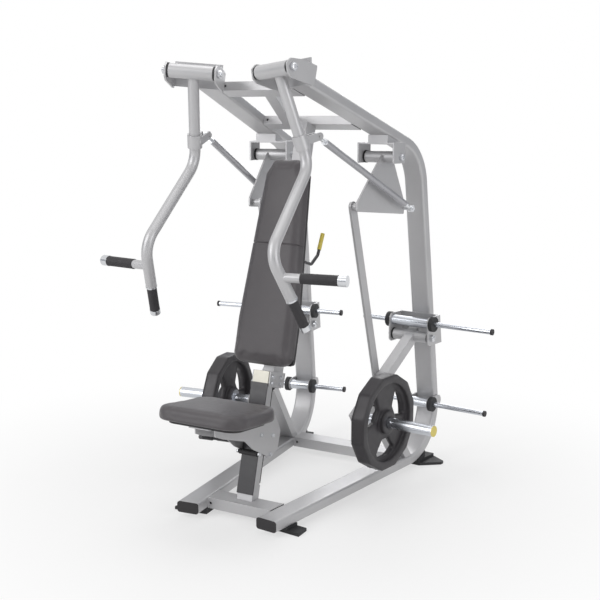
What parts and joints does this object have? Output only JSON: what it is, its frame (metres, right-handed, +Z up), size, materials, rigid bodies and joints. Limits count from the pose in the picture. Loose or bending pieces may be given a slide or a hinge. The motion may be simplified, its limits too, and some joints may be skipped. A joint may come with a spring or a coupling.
{
  "type": "plate loaded chest press machine",
  "caption": "Plate loaded seated chest press: bent tube side frames, overhead press arms geared by rods and cranks to weight levers, sliding seat, reclined back pad, storage pegs",
  "frame": {"origin": "Middle of the footprint, on the floor under the rubber feet.", "axes": "+X to the right of the machine seen from the front, +Y to the rear, +Z up; the user sits facing -Y."},
  "size_m": [1.5796, 1.6248, 1.9932],
  "materials": {
    "frame_paint": "satin",
    "vinyl": "satin",
    "board": "matte",
    "chrome": "polished",
    "steel": "satin",
    "rubber": "matte",
    "grip": "matte",
    "yellow": "gloss",
    "black_paint": "satin",
    "iron": "satin",
    "black_plastic": "satin"
  },
  "bodies": {
    "frame": {"left_side_frame": "frame_paint", "right_side_frame": "frame_paint", "front_base_crossmember": "frame_paint", "rear_base_crossmember": "frame_paint", "front_top_crossmember": "frame_paint", "middle_top_crossmember": "frame_paint", "top_diagonal_brace": "frame_paint", "rubber_feet": "rubber", "rail_end_plugs": "black_plastic", "press_brackets": "frame_paint", "bell_crank_brackets": "frame_paint", "lever_brackets": "frame_paint", "lower_storage_brackets": "frame_paint", "pivot_bolts": "steel", "pivot_seals": "rubber", "storage_pegs": "chrome", "storage_sleeves": "chrome", "storage_bumpers": "rubber", "storage_peg_caps": "black_plastic", "lever_stop_posts": "frame_paint", "lever_stop_rubbers": "rubber", "seat_column": "frame_paint", "column_front_cover": "black_paint", "column_rear_guide": "black_plastic", "column_bracket_plates": "frame_paint", "column_bracket_bolts": "steel", "back_post": "frame_paint", "back_pad": "vinyl", "back_pad_board": "board", "back_pad_brackets": "frame_paint"},
    "right_arm": {"right_press_arm": "frame_paint", "right_hand_grips": "grip", "right_grip_end_caps": "steel", "right_arm_clamp_collar": "frame_paint"},
    "right_tie": {"right_tie_rod": "frame_paint"},
    "right_crank": {"right_bell_crank": "frame_paint"},
    "right_link": {"right_lift_link": "frame_paint"},
    "right_lever": {"right_weight_lever": "frame_paint", "right_weight_horn": "chrome", "right_horn_end_cap": "yellow"},
    "right_plate": {"right_weight_plate": "iron"},
    "left_arm": {"left_press_arm": "frame_paint", "left_hand_grips": "grip", "left_grip_end_caps": "steel", "left_arm_clamp_collar": "frame_paint"},
    "left_tie": {"left_tie_rod": "frame_paint"},
    "left_crank": {"left_bell_crank": "frame_paint"},
    "left_link": {"left_lift_link": "frame_paint"},
    "left_lever": {"left_weight_lever": "frame_paint", "left_weight_horn": "chrome", "left_horn_end_cap": "yellow"},
    "left_plate": {"left_weight_plate": "iron"},
    "seat": {"seat_pad": "vinyl", "seat_board": "board", "seat_carriage": "frame_paint", "carriage_rollers": "black_plastic", "carriage_bolts": "steel"},
    "seat_handle": {"seat_adjust_lever": "black_paint"},
    "release_handle": {"release_lever": "black_paint", "release_lever_grip": "yellow"}
  },
  "joints": [
    {"name": "right_press_pivot", "type": "hinge", "parent": "frame", "child": "right_arm", "pos_m": [0.20285, -0.48638, 1.9435], "axis": [-0.9409, 0.3282, -0.0837], "range_deg": [0, 30]},
    {"name": "right_bell_pivot", "type": "hinge", "parent": "frame", "child": "right_crank", "pos_m": [0.2984, 0.324, 1.573], "axis": [-0.993, 0.1177, 0], "range_deg": [0, 30]},
    {"name": "right_lever_pivot", "type": "hinge", "parent": "frame", "child": "right_lever", "pos_m": [0.34266, 0.59971, 0.675], "axis": [-0.993, 0.1177, 0], "range_deg": [0, 28]},
    {"name": "right_tie_rod_pin", "type": "hinge", "parent": "right_arm", "child": "right_tie", "pos_m": [0.28317, -0.27504, 1.67809], "axis": [-0.9594, 0.2818, -0.0141], "range_deg": [-32, 0]},
    {"name": "right_lift_link_pin", "type": "hinge", "parent": "right_crank", "child": "right_link", "pos_m": [0.24609, 0.12478, 1.353], "axis": [-0.993, 0.1177, 0], "range_deg": [-33, 0]},
    {"name": "right_plate_slide", "type": "slide", "parent": "right_lever", "child": "right_plate", "axis": [0.993, -0.1177, 0], "range_m": [0, 0.2]},
    {"name": "left_press_pivot", "type": "hinge", "parent": "frame", "child": "left_arm", "pos_m": [-0.20285, -0.48638, 1.9435], "axis": [-0.9409, -0.3282, 0.0837], "range_deg": [0, 30]},
    {"name": "left_bell_pivot", "type": "hinge", "parent": "frame", "child": "left_crank", "pos_m": [-0.2984, 0.324, 1.573], "axis": [-0.993, -0.1177, 0], "range_deg": [0, 30]},
    {"name": "left_lever_pivot", "type": "hinge", "parent": "frame", "child": "left_lever", "pos_m": [-0.34266, 0.59971, 0.675], "axis": [-0.993, -0.1177, 0], "range_deg": [0, 28]},
    {"name": "left_tie_rod_pin", "type": "hinge", "parent": "left_arm", "child": "left_tie", "pos_m": [-0.28317, -0.27504, 1.67809], "axis": [-0.9594, -0.2818, 0.0141], "range_deg": [-32, 0]},
    {"name": "left_lift_link_pin", "type": "hinge", "parent": "left_crank", "child": "left_link", "pos_m": [-0.24609, 0.12478, 1.353], "axis": [-0.993, -0.1177, 0], "range_deg": [-33, 0]},
    {"name": "left_plate_slide", "type": "slide", "parent": "left_lever", "child": "left_plate", "axis": [-0.993, -0.1177, 0], "range_m": [0, 0.2]},
    {"name": "seat_slide", "type": "slide", "parent": "frame", "child": "seat", "axis": [0, 0.2639, 0.9646], "range_m": [-0.07, 0.05]},
    {"name": "seat_handle_pivot", "type": "hinge", "parent": "seat", "child": "seat_handle", "pos_m": [-0.053, -0.4201, 0.34], "axis": [-1, 0, 0], "range_deg": [0, 14], "stiffness_Nm_per_rad": 6, "springref_deg": -11.46},
    {"name": "release_handle_pivot", "type": "hinge", "parent": "frame", "child": "release_handle", "pos_m": [0.036, -0.0351, 1.112], "axis": [1, 0, 0], "range_deg": [0, 14], "stiffness_Nm_per_rad": 6, "springref_deg": -11.46}
  ],
  "couplings": [
    {"joint": "right_bell_pivot", "follows": "right_press_pivot", "ratio": 0.99816},
    {"joint": "right_lever_pivot", "follows": "right_press_pivot", "ratio": 0.91623},
    {"joint": "right_tie_rod_pin", "follows": "right_press_pivot", "ratio": -1.0624},
    {"joint": "right_lift_link_pin", "follows": "right_press_pivot", "ratio": -1.0912},
    {"joint": "left_bell_pivot", "follows": "left_press_pivot", "ratio": 0.99816},
    {"joint": "left_lever_pivot", "follows": "left_press_pivot", "ratio": 0.91623},
    {"joint": "left_tie_rod_pin", "follows": "left_press_pivot", "ratio": -1.0624},
    {"joint": "left_lift_link_pin", "follows": "left_press_pivot", "ratio": -1.0912}
  ]
}
